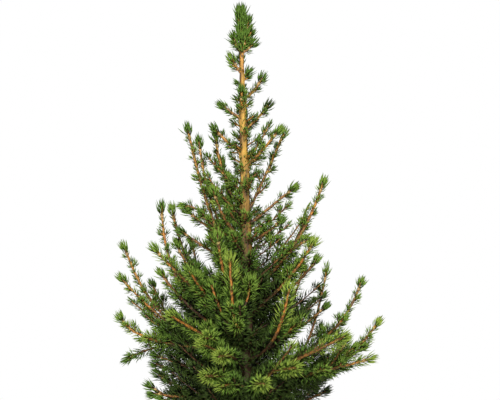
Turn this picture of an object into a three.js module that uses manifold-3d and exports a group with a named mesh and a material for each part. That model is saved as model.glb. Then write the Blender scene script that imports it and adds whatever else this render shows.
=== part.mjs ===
// A potted dwarf spruce: a small upright conifer in a plain clay pot.
// Lengths are in millimetres and angles in degrees. Z is up, and the front faces -Y.
// The origin is the middle of the pot's underside, and heights are above it.
// Azimuths run anticlockwise from +X, seen from above.
import * as THREE from "three";
import { mergeVertices } from "three/addons/utils/BufferGeometryUtils.js";
import Module from "manifold-3d";

const wasm = await Module();
wasm.setup();

// The clay pot: a tapering wall under a thick band, with drain holes round the middle of its floor.
const pot = {
  height: 150,
  footRadius: 55,
  wallRadius: 77,
  bandRadius: 83,
  rimRadius: 85,
  bandHeight: 34,
  innerFootRadius: 48,
  innerRimRadius: 76,
  floor: 9,
  edge: 1.6,
  holes: 4,
  holeRadius: 5,
  holeCircle: 27,
  holeSides: 12,
  sides: 32,
};

// The soil fills the pot to under its rim, and rises a little to a flat patch round the trunk.
const soil = { level: 134.7, edgeDrop: 4, flatRadius: 24 };

// Neighbouring pieces keep this much air between them.
const gap = 0.3;

// The trunk runs from a flat cut on the soil to the foot of the leading shoot.
const trunk = {
  ground: soil.level + gap,
  top: 482,
  tipRadius: 2.0,
  footRadius: 7.5,
  taper: 0.8,
  flare: 4,
  flareHeight: 11,
  sway: 2.5,
  swayLength: 620,
  sides: 9,
  steps: 18,
  ringPower: 1.5,
};

// The leading shoot at the very top.
const leader = { name: "leading_shoot", tip: 534, storeys: 8, forks: [] };

// Boughs leave the trunk at the height foot. Their shoots end at the height tip, reach from the middle.
// A shoot with no curl is straight, and one with a curl of 1 runs well out before it turns up.
// A fork is its turn from its shoot, anticlockwise from above, its share of the length left, and its lift.
const boughs = [
  { name: "left_high", azimuth: 196, foot: 288, reach: 51, tip: 431, curl: 0.5,
    forks: [[-26, 0.8, -0.48]] },
  { name: "left_back_high", azimuth: 156, foot: 262, reach: 71, tip: 357, curl: 1.1,
    forks: [[19, 0.5, 0.45], [-50, 0.6, 0]] },
  { name: "left_front_mid", azimuth: 208, foot: 250, reach: 87, tip: 326, curl: 0.2,
    forks: [[30, 0.66, 0.05]] },
  { name: "left_mid", azimuth: 174, foot: 220, reach: 108, tip: 324, curl: 1,
    forks: [[20, 0.73, 0.21], [-48, 0.54, 0.09]] },
  { name: "left_low", azimuth: 193, foot: 232, reach: 111, tip: 263, curl: 1.4,
    forks: [[-22, 0.76, -0.37], [50, 0.6, 0]] },
  { name: "left_skirt", azimuth: 186, foot: 168, reach: 84, tip: 200, curl: 0.5,
    forks: [[28, 0.9, 0], [-52, 0.9, 0.2]] },
  { name: "right_high", azimuth: 344, foot: 284, reach: 74, tip: 384, curl: 0.7,
    forks: [[-27, 0.65, -0.25], [60, 0.5, 0]] },
  { name: "right_mid", azimuth: 10, foot: 213, reach: 109, tip: 291, curl: 1.2,
    forks: [[9, 0.34, 2.1], [-54, 0.55, 0.1]] },
  { name: "right_low", azimuth: 352, foot: 185, reach: 121, tip: 258, curl: 0.8,
    forks: [[47, 0.6, 0.15], [-42, 0.55, 0.35]] },
  { name: "right_skirt", azimuth: 342, foot: 196, reach: 118, tip: 229, curl: 0.1,
    forks: [[20, 0.65, -0.05], [-44, 0.6, 0]] },
  { name: "right_front_low", azimuth: 321, foot: 206, reach: 112, tip: 253, curl: 0.2,
    forks: [[30, 0.6, 0.15]] },
  { name: "front_high", azimuth: 260, foot: 234, reach: 64, tip: 320, curl: 1.3,
    forks: [[-59, 0.39, 0.9], [80, 0.39, 0.9]] },
  { name: "front_right", azimuth: 299, foot: 222, reach: 82, tip: 294, curl: 1.1, forks: [[26, 0.5, 0.2]] },
  { name: "front_left", azimuth: 229, foot: 223, reach: 94, tip: 271, curl: 0.0, forks: [[24, 0.7, -0.2]] },
  { name: "front_low", azimuth: 259, foot: 202, reach: 104, tip: 240, curl: -1.2,
    forks: [[-25, 0.75, -0.1], [-50, 0.5, 0]] },
  { name: "front_skirt", azimuth: 280, foot: 176, reach: 104, tip: 217, curl: -1.0,
    forks: [[28, 0.85, 0.2], [-44, 0.75, -0.2]] },
  { name: "back_high", azimuth: 92, foot: 266, reach: 70, tip: 360, curl: 0.8,
    forks: [[55, 0.6, 0.25], [-60, 0.6, 0.1]] },
  { name: "back_right", azimuth: 57, foot: 218, reach: 103, tip: 296, curl: 0.8,
    forks: [[51, 0.6, 0.1], [-55, 0.75, 0]] },
  { name: "back_left", azimuth: 126, foot: 212, reach: 104, tip: 292, curl: 0.9,
    forks: [[43, 0.7, 0.15], [-60, 0.6, 0]] },
  { name: "back_low", azimuth: 108, foot: 170, reach: 109, tip: 214, curl: 0.5,
    forks: [[43, 0.8, 0.1], [-50, 0.8, 0.15]] },
  { name: "back_skirt", azimuth: 42, foot: 158, reach: 104, tip: 196, curl: 0.5,
    forks: [[39, 0.85, 0.1], [-50, 0.65, 0.1]] },
];

// Shoots of the upper tree, green from the trunk on.
const upperShoots = [
  { name: "crown_right_top", azimuth: 350, foot: 458, reach: 17, tip: 477, curl: 0.6, forks: [] },
  { name: "crown_left_top", azimuth: 186, foot: 440, reach: 18, tip: 452, curl: 0.2, forks: [] },
  { name: "crown_front", azimuth: 262, foot: 449, reach: 9, tip: 465, curl: 0.6, forks: [] },
  { name: "crown_right_mid", azimuth: 12, foot: 431, reach: 23, tip: 452, curl: 0.3, forks: [] },
  { name: "crown_back", azimuth: 88, foot: 416, reach: 22, tip: 444, curl: 0.5, forks: [] },
  { name: "crown_left_mid", azimuth: 174, foot: 409, reach: 25, tip: 431, curl: 0.3, forks: [] },
  { name: "crown_right_low", azimuth: 338, foot: 397, reach: 34, tip: 430, curl: 0.2, forks: [] },
  { name: "upper_left", azimuth: 163, foot: 357, reach: 26, tip: 424, curl: 0.9, forks: [] },
  { name: "upper_right", azimuth: 8, foot: 343, reach: 46, tip: 378, curl: 0, forks: [] },
  { name: "upper_right_front", azimuth: 334, foot: 328, reach: 37, tip: 350, curl: 0.4, forks: [] },
  { name: "upper_right_back", azimuth: 38, foot: 352, reach: 47, tip: 427, curl: 0.1, forks: [] },
  { name: "upper_left_back", azimuth: 118, foot: 338, reach: 42, tip: 400, curl: 0.5,
    forks: [[-40, 0.8, 0.3]] },
  { name: "upper_left_front", azimuth: 226, foot: 332, reach: 37, tip: 377, curl: 0.8, forks: [] },
  { name: "upper_front", azimuth: 244, foot: 272, reach: 50, tip: 339, curl: 1.2, forks: [] },
];

// A shoot's bend lies halfway, or by these shares further out and lower down for a curl of 1.
const curl = { out: 0.25, up: 0.3 };
// A bough is bare up to this share of its shoot's length.
const bareShare = 0.22;
const boughShape = { footRadius: 2.7, endRadius: 1.6, sides: 5, steps: 2 };

// Past its foot a needled limb swells to a belly, as its close needles do, and thins towards its tip.
const brush = { bellyAt: 0.25, belly: 3.2, tip: 1.5 };

// Forks are long side shoots. Twigs are short ones, set round their parent by the golden angle. The ones at
// a parent's foot are longest, up to a share of its length, and the least ones are left out.
const fork = { first: 0.14, step: 0.2, footRadius: 1.4 };
const twig = {
  spacing: 14,
  first: 0.05,
  last: 0.9,
  angle: 50,
  long: 28,
  longShare: 0.26,
  short: 4,
  least: 4.6,
  lift: 0.25,
  footRadius: 1.2,
};
const goldenAngle = 137.508;

// Needles stand out of a slim core, one from each side of each storey, and each stands for several.
const needle = {
  length: 13,
  endLength: 11,
  storey: 10,
  angleFoot: 64,
  angleTip: 30,
  footRadius: 2.6,
  tipRadius: 1.2,
};
const core = { twigSides: 3, stemSides: 4, leaderSides: 6, turnPerStorey: 45 };

// Foliage hangs no lower than this above the pot's rim, or above the soil inside the rim.
const headroom = 3;
// Corners this close are one corner.
const sameCorner = 1e-3;

const up = new THREE.Vector3(0, 0, 1);
const radians = THREE.MathUtils.degToRad;
const mix = THREE.MathUtils.lerp;

// A seeded run of numbers from 0 to 1.
function randomFrom(seed) {
  let state = seed;
  return () => {
    state = (state * 1664525 + 1013904223) % 4294967296;
    return state / 4294967296;
  };
}

// The middle of the trunk at a height.
function trunkMiddle(height) {
  const grown = height - trunk.ground;
  const x = trunk.sway * Math.sin((2 * Math.PI * grown) / trunk.swayLength);
  const y = 0.6 * trunk.sway * Math.sin((3 * Math.PI * grown) / trunk.swayLength);
  return new THREE.Vector3(x, y, height);
}

function trunkRadius(height) {
  const grown = height - trunk.ground;
  const left = Math.max(0, 1 - grown / (trunk.top - trunk.ground));
  return trunk.tipRadius + (trunk.footRadius - trunk.tipRadius) * left ** trunk.taper +
    trunk.flare * Math.exp(-grown / trunk.flareHeight);
}

// The outward direction at an azimuth.
function outward(azimuth) {
  return new THREE.Vector3(Math.cos(radians(azimuth)), Math.sin(radians(azimuth)), 0);
}

// The whole curve of a shoot, from the trunk's middle to its tip.
function shootCurve(shoot) {
  const start = trunkMiddle(shoot.foot);
  const end = outward(shoot.azimuth).multiplyScalar(shoot.reach).setZ(shoot.tip);
  const out = 0.5 + shoot.curl * curl.out;
  const rise = 0.5 - shoot.curl * curl.up;
  const turn = end.clone().sub(start).multiply(new THREE.Vector3(out, out, rise)).add(start);
  return new THREE.QuadraticBezierCurve3(start, turn, end);
}

// The stretch of a quadratic curve between two of its parameters, itself a quadratic curve.
function stretch(curve, from, to) {
  const start = curve.getPoint(from);
  const end = curve.getPoint(to);
  const turn = start.clone().addScaledVector(slope(curve, from), (to - from) / 2);
  return new THREE.QuadraticBezierCurve3(start, turn, end);
}

function slope(curve, t) {
  return curve.v1.clone().sub(curve.v0).multiplyScalar(2 * (1 - t))
    .addScaledVector(curve.v2.clone().sub(curve.v1), 2 * t);
}

// Two directions square to a limb's own, the second one on its upper side.
function across(direction) {
  const reference = Math.abs(direction.z) > 0.96 ? new THREE.Vector3(0, 1, 0) : up;
  const side = direction.clone().cross(reference).normalize();
  return [side, side.clone().cross(direction)];
}

// A mix of two directions that are square to each other, by an angle from the first.
function between(first, second, angle) {
  return first.clone().multiplyScalar(Math.cos(radians(angle)))
    .addScaledVector(second, Math.sin(radians(angle)));
}

// A direction that leans off another by an angle, on the side that roll gives.
function leaning(direction, angle, roll) {
  const [side, top] = across(direction);
  return between(direction, between(side, top, roll), angle);
}

// A curve from a point, first along a direction and then lifted.
function sprout(start, direction, length, lift) {
  const turn = start.clone().addScaledVector(direction, length / 2);
  const end = start.clone().addScaledVector(direction, length).addScaledVector(up, length * lift);
  return new THREE.QuadraticBezierCurve3(start, turn, end);
}

// A closed solid from a three.js geometry.
function solidOf(geometry) {
  const bare = new THREE.BufferGeometry();
  bare.setAttribute("position", geometry.getAttribute("position"));
  bare.setIndex(geometry.index);
  const merged = mergeVertices(bare, sameCorner);
  const vertProperties = new Float32Array(merged.getAttribute("position").array);
  const triVerts = new Uint32Array(merged.index.array);
  return new wasm.Manifold(new wasm.Mesh({ numProp: 3, vertProperties, triVerts }));
}

function geometryOf(solid) {
  const mesh = solid.getMesh();
  const geometry = new THREE.BufferGeometry();
  geometry.setAttribute("position", new THREE.BufferAttribute(mesh.vertProperties, mesh.numProp));
  geometry.setIndex(new THREE.BufferAttribute(mesh.triVerts, 1));
  geometry.computeVertexNormals();
  return geometry;
}

// A cylinder of unit size, bent along a path, twisted, and drawn in or out to the radius there.
function limbGeometry(pointAt, slopeAt, radiusAt, { sides, steps, twist = 0 }) {
  const geometry = new THREE.CylinderGeometry(1, 1, 1, sides, steps);
  const places = geometry.getAttribute("position");
  for (let i = 0; i < places.count; i++) {
    const along = places.getY(i) + 0.5;
    const [side, top] = across(slopeAt(along).normalize());
    const turnedSide = between(side, top, twist * along);
    const turnedTop = between(top, side, -twist * along);
    const place = pointAt(along)
      .addScaledVector(turnedSide, places.getX(i) * radiusAt(along))
      .addScaledVector(turnedTop, places.getZ(i) * radiusAt(along));
    places.setXYZ(i, place.x, place.y, place.z);
  }
  return geometry;
}

// The trunk, or with a margin the space that its neighbours keep clear of. Rings are closer at its foot.
function trunkSolid(margin) {
  const heightAt = (t) => mix(trunk.ground, trunk.top, t ** trunk.ringPower);
  const facetMargin = margin / Math.cos(Math.PI / trunk.sides);
  const radiusAt = (t) => trunkRadius(heightAt(t)) + facetMargin;
  return solidOf(limbGeometry((t) => trunkMiddle(heightAt(t)), () => up.clone(), radiusAt, trunk));
}

// What is already there, as straight pieces with a thickness, so that nothing new touches another node.
const taken = [];
// Within a mass, pieces may come closer than their thickness, by this share of it.
const sameMassShare = 0.75;

function piecesOf(owner, limb, curve, radiusAt, steps) {
  const pieces = [];
  for (let i = 0; i < steps; i++) {
    const from = curve.getPoint(i / steps);
    const to = curve.getPoint((i + 1) / steps);
    const radius = Math.max(radiusAt(i / steps), radiusAt((i + 1) / steps));
    pieces.push({ owner, limb, from, to, radius });
  }
  return pieces;
}

// The least distance between two straight stretches.
function distanceBetween(a, b) {
  const along = a.to.clone().sub(a.from);
  const other = b.to.clone().sub(b.from);
  const apart = a.from.clone().sub(b.from);
  const crossed = along.dot(other);
  const spread = along.lengthSq() * other.lengthSq() - crossed ** 2;
  const clamp = (value) => THREE.MathUtils.clamp(value, 0, 1);
  const towards = crossed * other.dot(apart) - along.dot(apart) * other.lengthSq();
  const guess = spread < Number.EPSILON ? 0 : clamp(towards / spread);
  const t = clamp((crossed * guess + other.dot(apart)) / other.lengthSq());
  const s = clamp((crossed * t - along.dot(apart)) / along.lengthSq());
  return apart.addScaledVector(along, s).addScaledVector(other, -t).length();
}

// The lowest height that foliage may hang to at a place.
function floorAt(place) {
  const insideRim = Math.hypot(place.x, place.y) < pot.innerRimRadius - 2 * headroom;
  return (insideRim ? soil.level : pot.height) + headroom;
}

// Whether new pieces of a limb stay off the pot and clear of all the limbs but their own and its parent.
function isClear(pieces, parent) {
  return pieces.every((piece) => {
    if ([piece.from, piece.to].some((place) => place.z - piece.radius < floorAt(place))) return false;
    return taken.every((other) => {
      const sameMass = other.owner === piece.owner;
      if (sameMass && (other.limb === piece.limb || other.limb === parent)) return true;
      const thickness = piece.radius + other.radius;
      return distanceBetween(piece, other) > (sameMass ? thickness * sameMassShare : thickness + gap);
    });
  });
}

const taper = (from, to) => (t) => mix(from, to, t);
const brushRadius = (foot) => (t) => (t < brush.bellyAt
  ? mix(foot, brush.belly, t / brush.bellyAt)
  : mix(brush.belly, brush.tip, (t - brush.bellyAt) / (1 - brush.bellyAt)));

// How many storeys of needles a curve holds.
const storeysOf = (curve) => Math.max(2, Math.round(curve.getLength() / needle.storey));

const masses = [];

// Starts a mass with its stem.
function layStem(shoot, curve, footRadius, sides, storeys = storeysOf(curve)) {
  const stem = { curve, radiusAt: brushRadius(footRadius), sides, storeys, bareStoreys: 0 };
  const mass = { name: shoot.name + "_foliage", forks: shoot.forks, limbs: [stem] };
  taken.push(...piecesOf(mass.name, 0, curve, stem.radiusAt, storeys));
  masses.push(mass);
}

// Adds a limb to a mass where it has room.
function tryLimb(mass, curve, footRadius, parent) {
  const radiusAt = brushRadius(footRadius);
  const storeys = storeysOf(curve);
  const pieces = piecesOf(mass.name, mass.limbs.length, curve, radiusAt, storeys);
  if (!isClear(pieces, parent)) return;
  taken.push(...pieces);
  mass.limbs.push({ curve, radiusAt, sides: core.twigSides, storeys, bareStoreys: 1 });
}

function layForks(mass) {
  const stem = mass.limbs[0].curve;
  mass.forks.forEach(([turn, share, lift], i) => {
    const t = fork.first + i * fork.step;
    const direction = slope(stem, t).normalize().applyAxisAngle(up, radians(turn));
    const length = stem.getLength() * (1 - t) * share;
    tryLimb(mass, sprout(stem.getPoint(t), direction, length, lift), fork.footRadius, 0);
  });
}

function layTwigs(mass, random) {
  [...mass.limbs].forEach(({ curve }, parent) => {
    const parentLength = curve.getLength();
    const count = Math.floor(parentLength / twig.spacing);
    const longest = Math.max(twig.short, Math.min(twig.long, twig.longShare * parentLength));
    let roll = random() * 360;
    for (let i = 0; i < count; i++) {
      const share = (i + 0.5) / count;
      const t = mix(twig.first, twig.last, share);
      const length = mix(twig.short, longest, (1 - share) ** 2) * mix(0.8, 1.1, random());
      roll += goldenAngle;
      if (length < twig.least) continue;
      const direction = leaning(slope(curve, t).normalize(), twig.angle, roll);
      tryLimb(mass, sprout(curve.getPoint(t), direction, length, twig.lift), twig.footRadius, parent);
    }
  });
}

// Takes the room of a needle that stands out of a place, and gives its tip, or null where there's no room.
function needleTip(owner, limb, place, direction, length) {
  const tip = place.clone().addScaledVector(direction, length);
  const waist = place.clone().lerp(tip, 0.5);
  const pieces = [
    { owner, limb, from: place, to: waist, radius: needle.footRadius },
    { owner, limb, from: waist, to: tip, radius: needle.tipRadius },
  ];
  if (!isClear(pieces)) return null;
  taken.push(...pieces);
  return tip;
}

// A limb whose sides are drawn out into needles, and its end into a last one.
function needledSolid(owner, limb, { curve, radiusAt, sides, storeys, bareStoreys }) {
  const shape = { sides, steps: storeys, twist: core.turnPerStorey * storeys };
  const geometry = limbGeometry((t) => curve.getPoint(t), (t) => slope(curve, t), radiusAt, shape);
  const places = Array.from(geometry.getAttribute("position").array);
  const corners = Array.from(geometry.index.array);
  const cornerAt = (i) => new THREE.Vector3().fromArray(places, 3 * i);
  // The cylinder lists each side's storeys from its top, six corners to a storey, and then its two ends.
  const sideCorners = 6 * sides * storeys;
  const faces = corners.slice(sideCorners);
  for (let first = 0; first < sideCorners; first += 6) {
    const [a, b, d, , c] = corners.slice(first, first + 6);
    const storey = storeys - 1 - (first / 6) % storeys;
    const t = (storey + 0.5) / storeys;
    const middle = cornerAt(a).add(cornerAt(b)).add(cornerAt(c)).add(cornerAt(d)).divideScalar(4);
    const heading = slope(curve, t).normalize();
    const off = middle.clone().sub(curve.getPoint(t)).projectOnPlane(heading).normalize();
    const direction = between(heading, off, mix(needle.angleFoot, needle.angleTip, t));
    const tip = storey >= bareStoreys && needleTip(owner, limb, middle, direction, needle.length);
    if (tip) {
      const apex = places.push(...tip.toArray()) / 3 - 1;
      faces.push(a, b, apex, b, c, apex, c, d, apex, d, a, apex);
    } else {
      faces.push(a, b, d, b, c, d);
    }
  }
  const end = curve.getPoint(1);
  const endTip = needleTip(owner, limb, end, slope(curve, 1).normalize(), needle.endLength);
  for (let i = 0; endTip && i < places.length / 3; i++) {
    if (cornerAt(i).distanceTo(end) < sameCorner) endTip.toArray(places, 3 * i);
  }
  const drawn = new THREE.BufferGeometry();
  drawn.setAttribute("position", new THREE.Float32BufferAttribute(places, 3));
  drawn.setIndex(faces);
  return solidOf(drawn);
}

// Joins the limbs of a mass, and keeps the one body that holds its stem.
function massSolid(mass, clearance) {
  const solids = mass.limbs.map((limb, i) => needledSolid(mass.name, i, limb));
  const joined = wasm.Manifold.union(solids).subtract(clearance);
  return joined.decompose().sort((a, b) => b.volume() - a.volume())[0];
}

function turned(profile) {
  const outline = profile.map(([radius, height]) => new THREE.Vector2(radius, height));
  return new THREE.LatheGeometry(outline, pot.sides).rotateX(Math.PI / 2);
}

function potSolid() {
  const bandFoot = pot.height - pot.bandHeight;
  const { edge } = pot;
  let body = solidOf(turned([
    [0, 0],
    [pot.footRadius - edge, 0],
    [pot.footRadius, edge],
    [pot.wallRadius, bandFoot - edge],
    [pot.bandRadius - edge, bandFoot],
    [pot.bandRadius, bandFoot + edge],
    [pot.rimRadius, pot.height - 2 * edge],
    [pot.rimRadius - edge, pot.height],
    [pot.innerRimRadius + edge, pot.height],
    [pot.innerRimRadius, pot.height - edge],
    [pot.innerFootRadius, pot.floor + 2 * edge],
    [pot.innerFootRadius - 2 * edge, pot.floor],
    [0, pot.floor],
  ]));
  for (let i = 0; i < pot.holes; i++) {
    const hole = new THREE.CylinderGeometry(pot.holeRadius, pot.holeRadius, 4 * pot.floor, pot.holeSides);
    hole.rotateX(Math.PI / 2);
    hole.translate(...outward(45 + (360 * i) / pot.holes).multiplyScalar(pot.holeCircle).toArray());
    body = body.subtract(solidOf(hole));
  }
  return body;
}

// The soil, a little clear of the pot's inside all round.
function soilSolid() {
  const foot = pot.floor + gap;
  const wallFoot = foot + 2 * pot.edge;
  const shoulder = soil.level - soil.edgeDrop;
  const innerWall = (height) => {
    const share = (height - pot.floor - 2 * pot.edge) / (pot.height - pot.floor - 3 * pot.edge);
    return mix(pot.innerFootRadius, pot.innerRimRadius, share) - 2 * gap;
  };
  return solidOf(turned([
    [0, foot],
    [pot.innerFootRadius - 2 * pot.edge - gap, foot],
    [innerWall(wallFoot), wallFoot],
    [innerWall(shoulder), shoulder],
    [innerWall(shoulder) * 0.7, soil.level - soil.edgeDrop * 0.3],
    [soil.flatRadius, soil.level],
    [0, soil.level],
  ]));
}

const looks = {
  clay: { color: "#a95f3c", roughness: 0.85, metalness: 0 },
  soil: { color: "#2d211a", roughness: 1, metalness: 0 },
  bark: { color: "#a06a35", roughness: 0.8, metalness: 0 },
  needles: { color: "#3f6f24", roughness: 0.55, metalness: 0 },
};
const materials = Object.fromEntries(
  Object.entries(looks).map(([name, look]) => [name, new THREE.MeshStandardMaterial(look)]));

const plant = new THREE.Group();

function addNode(name, solid, material) {
  const mesh = new THREE.Mesh(geometryOf(solid), materials[material]);
  mesh.name = name;
  plant.add(mesh);
}

addNode("pot", potSolid(), "clay");
addNode("soil", soilSolid(), "soil");
addNode("trunk", trunkSolid(0), "bark");
const trunkClearance = trunkSolid(gap);
for (let i = 0; i < trunk.steps; i++) {
  const [low, high] = [i, i + 1].map((step) => mix(trunk.ground, trunk.top, step / trunk.steps));
  taken.push({ owner: "trunk", from: trunkMiddle(low), to: trunkMiddle(high), radius: trunkRadius(low) });
}

const leaderFoot = trunkMiddle(trunk.top + gap);
const leaderTip = trunkMiddle(leader.tip);
const leaderMiddle = leaderFoot.clone().lerp(leaderTip, 0.5);
const leaderCurve = new THREE.QuadraticBezierCurve3(leaderFoot, leaderMiddle, leaderTip);
layStem(leader, leaderCurve, trunk.tipRadius, core.leaderSides, leader.storeys);

for (const shoot of upperShoots) {
  layStem(shoot, shootCurve(shoot), boughShape.endRadius, core.stemSides);
}

// A bough is the first stretch of its shoot's curve, and its mass has the rest.
for (const shoot of boughs) {
  const whole = shootCurve(shoot);
  const bough = stretch(whole, 0, bareShare);
  const radiusAt = taper(boughShape.footRadius, boughShape.endRadius);
  const name = shoot.name + "_bough";
  taken.push(...piecesOf(name, 0, bough, radiusAt, boughShape.steps));
  const limb = limbGeometry((t) => bough.getPoint(t), (t) => slope(bough, t), radiusAt, boughShape);
  addNode(name, solidOf(limb).subtract(trunkClearance), "bark");
  const entry = bareShare + gap / slope(whole, bareShare).length();
  layStem(shoot, stretch(whole, entry, 1), boughShape.endRadius, core.stemSides);
}

masses.forEach(layForks);
masses.slice(1).forEach((mass, i) => layTwigs(mass, randomFrom(1 + i)));
masses.forEach((mass) => addNode(mass.name, massSolid(mass, trunkClearance), "needles"));

export default plant;
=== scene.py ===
# A potted dwarf spruce: its needles, twigs, bark, clay pot and soil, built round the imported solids.
# Lengths in the dictionaries are in millimetres and angles in degrees; meshes are made in metres.
# Azimuths run anticlockwise from +X, seen from above, and the front faces -Y.
import math

import bmesh
import bpy
import numpy as np
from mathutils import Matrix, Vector, noise


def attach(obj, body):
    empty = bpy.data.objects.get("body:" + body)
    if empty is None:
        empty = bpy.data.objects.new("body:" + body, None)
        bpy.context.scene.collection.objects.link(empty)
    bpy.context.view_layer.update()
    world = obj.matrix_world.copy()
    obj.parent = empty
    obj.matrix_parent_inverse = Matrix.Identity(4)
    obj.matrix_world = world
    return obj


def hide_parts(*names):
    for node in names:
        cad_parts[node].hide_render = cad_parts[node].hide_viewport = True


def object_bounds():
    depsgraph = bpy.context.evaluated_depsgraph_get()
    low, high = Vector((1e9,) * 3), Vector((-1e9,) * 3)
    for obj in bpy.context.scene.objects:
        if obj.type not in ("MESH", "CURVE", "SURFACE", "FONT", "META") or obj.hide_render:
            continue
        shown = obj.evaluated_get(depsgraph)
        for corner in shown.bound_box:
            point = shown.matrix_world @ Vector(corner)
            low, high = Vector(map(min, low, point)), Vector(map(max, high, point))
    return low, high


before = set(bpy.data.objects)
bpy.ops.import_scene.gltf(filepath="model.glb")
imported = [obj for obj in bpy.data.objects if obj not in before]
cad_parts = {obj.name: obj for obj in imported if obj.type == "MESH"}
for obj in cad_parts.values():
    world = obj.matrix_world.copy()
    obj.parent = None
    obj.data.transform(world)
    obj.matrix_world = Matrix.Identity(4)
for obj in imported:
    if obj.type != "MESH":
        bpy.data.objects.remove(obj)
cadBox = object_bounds()
mm = 0.001
tiny = 0.01 * mm
print("frame: the packed solids are in,", len(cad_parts), "nodes")


# Colours are written as sRGB hex and used as linear values
def linear(hexColour):
    channels = [int(hexColour[i:i + 2], 16) / 255 for i in (1, 3, 5)]
    return [c / 12.92 if c <= 0.04045 else ((c + 0.055) / 1.055) ** 2.4 for c in channels] + [1]


# Adds a shader node; inputs holds values and links by socket name or number
def addNode(tree, kind, inputs=None, **settings):
    node = tree.nodes.new("ShaderNode" + kind)
    for name, value in settings.items():
        setattr(node, name, value)
    for socket, value in (inputs or {}).items():
        if isinstance(value, bpy.types.NodeSocket):
            tree.links.new(value, node.inputs[socket])
        else:
            node.inputs[socket].default_value = value
    return node


# A new material with its principled shader's constant sockets set; place gives the object's coordinates
def newMaterial(name, **sockets):
    material = bpy.data.materials.new(name)
    material.use_nodes = True
    tree = material.node_tree
    shader = tree.nodes["Principled BSDF"]
    for socket, value in sockets.items():
        shader.inputs[socket.replace("_", " ")].default_value = value
    place = addNode(tree, "TexCoord").outputs["Object"]
    return material, tree, shader, place


# Noise whose spots are of a size in millimetres
def addNoise(tree, place, size, detail, roughness=0.5):
    sockets = {"Vector": place, "Scale": 1 / (size * mm), "Detail": detail, "Roughness": roughness}
    return addNode(tree, "TexNoise", sockets).outputs["Fac"]


# A value's way from one number to another, drawn out between two new ones
def addRange(tree, value, low, high, fromLow=0, fromHigh=1):
    sockets = {"Value": value, "From Min": fromLow, "From Max": fromHigh, "To Min": low, "To Max": high}
    return addNode(tree, "MapRange", sockets).outputs["Result"]


def addRamp(tree, value, stops):
    ramp = addNode(tree, "ValToRGB", {"Fac": value})
    elements = ramp.color_ramp.elements
    while len(elements) < len(stops):
        elements.new(0.5)
    for element, (place, colour) in zip(elements, stops):
        element.position = place
        element.color = linear(colour)
    return ramp.outputs["Color"]


# A colour under a tint that shows by a mask
def addTint(tree, mask, colour, tint):
    sockets = {"Factor": mask, "A": colour, "B": linear(tint)}
    return addNode(tree, "Mix", sockets, data_type="RGBA").outputs["Result"]


# Bumps by a height, to a depth in millimetres
def addRelief(tree, shader, height, strength, depth):
    bump = addNode(tree, "Bump", {"Height": height, "Strength": strength, "Distance": depth * mm})
    tree.links.new(bump.outputs["Normal"], shader.inputs["Normal"])


def addObject(name, data):
    made = bpy.data.objects.new(name, data)
    bpy.context.scene.collection.objects.link(made)
    return made


# An object for a mesh, at the origin, which rides on the plant's one body
def addPiece(name, mesh, materials, replaced=()):
    piece = addObject(name, mesh)
    for material in materials:
        mesh.materials.append(material)
    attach(piece, "root")
    if replaced:
        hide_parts(*replaced)


def meshFromBmesh(name, shape, smooth=True):
    mesh = bpy.data.meshes.new(name)
    for face in shape.faces:
        face.smooth = smooth
    shape.to_mesh(mesh)
    shape.free()
    return mesh


# A mesh of triangles from arrays of places in millimetres, corner numbers and material numbers
def meshFromArrays(name, places, corners, kinds, smooth=True):
    mesh = bpy.data.meshes.new(name)
    mesh.vertices.add(len(places))
    mesh.vertices.foreach_set("co", (places * mm).astype(np.float32).ravel())
    mesh.loops.add(corners.size)
    mesh.loops.foreach_set("vertex_index", corners.astype(np.int32).ravel())
    mesh.polygons.add(len(corners))
    mesh.polygons.foreach_set("loop_start", np.arange(0, corners.size, 3, dtype=np.int32))
    mesh.polygons.foreach_set("material_index", kinds.astype(np.int32))
    mesh.polygons.foreach_set("use_smooth", np.full(len(corners), smooth))
    mesh.update(calc_edges=True)
    mesh.validate()
    return mesh


# The pot, the soil and the trunk, and the shoots by which the plant grows, as in the solids
pot = {
    "height": 150, "footRadius": 55, "wallRadius": 77, "bandRadius": 83, "rimRadius": 85,
    "bandHeight": 34, "innerFootRadius": 48, "innerRimRadius": 76, "floor": 9, "edge": 1.6, "sharp": 0.35,
    "holes": 4, "holeRadius": 5, "holeCircle": 27, "holeTurn": 45, "turns": 96,
}
soil = {
    "level": 134.7, "edgeDrop": 4, "flatRadius": 24, "gap": 0.3, "bevel": 3, "rings": 38,
    "slopeTurn": 0.7, "slopeDrop": 0.3, "uneven": 1.6, "clodSize": 9, "fineSize": 3.5, "fineShare": 0.6,
}
trunk = {
    "ground": 135, "top": 482, "tipRadius": 2, "footRadius": 7.5, "taper": 0.8,
    "flare": 4, "flareHeight": 11, "sway": 2.5, "swayLength": 620, "sideShare": 0.6,
    "needled": (310, 390, 474),
}
leader = {"foot": 482.3, "tip": 534}

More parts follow.
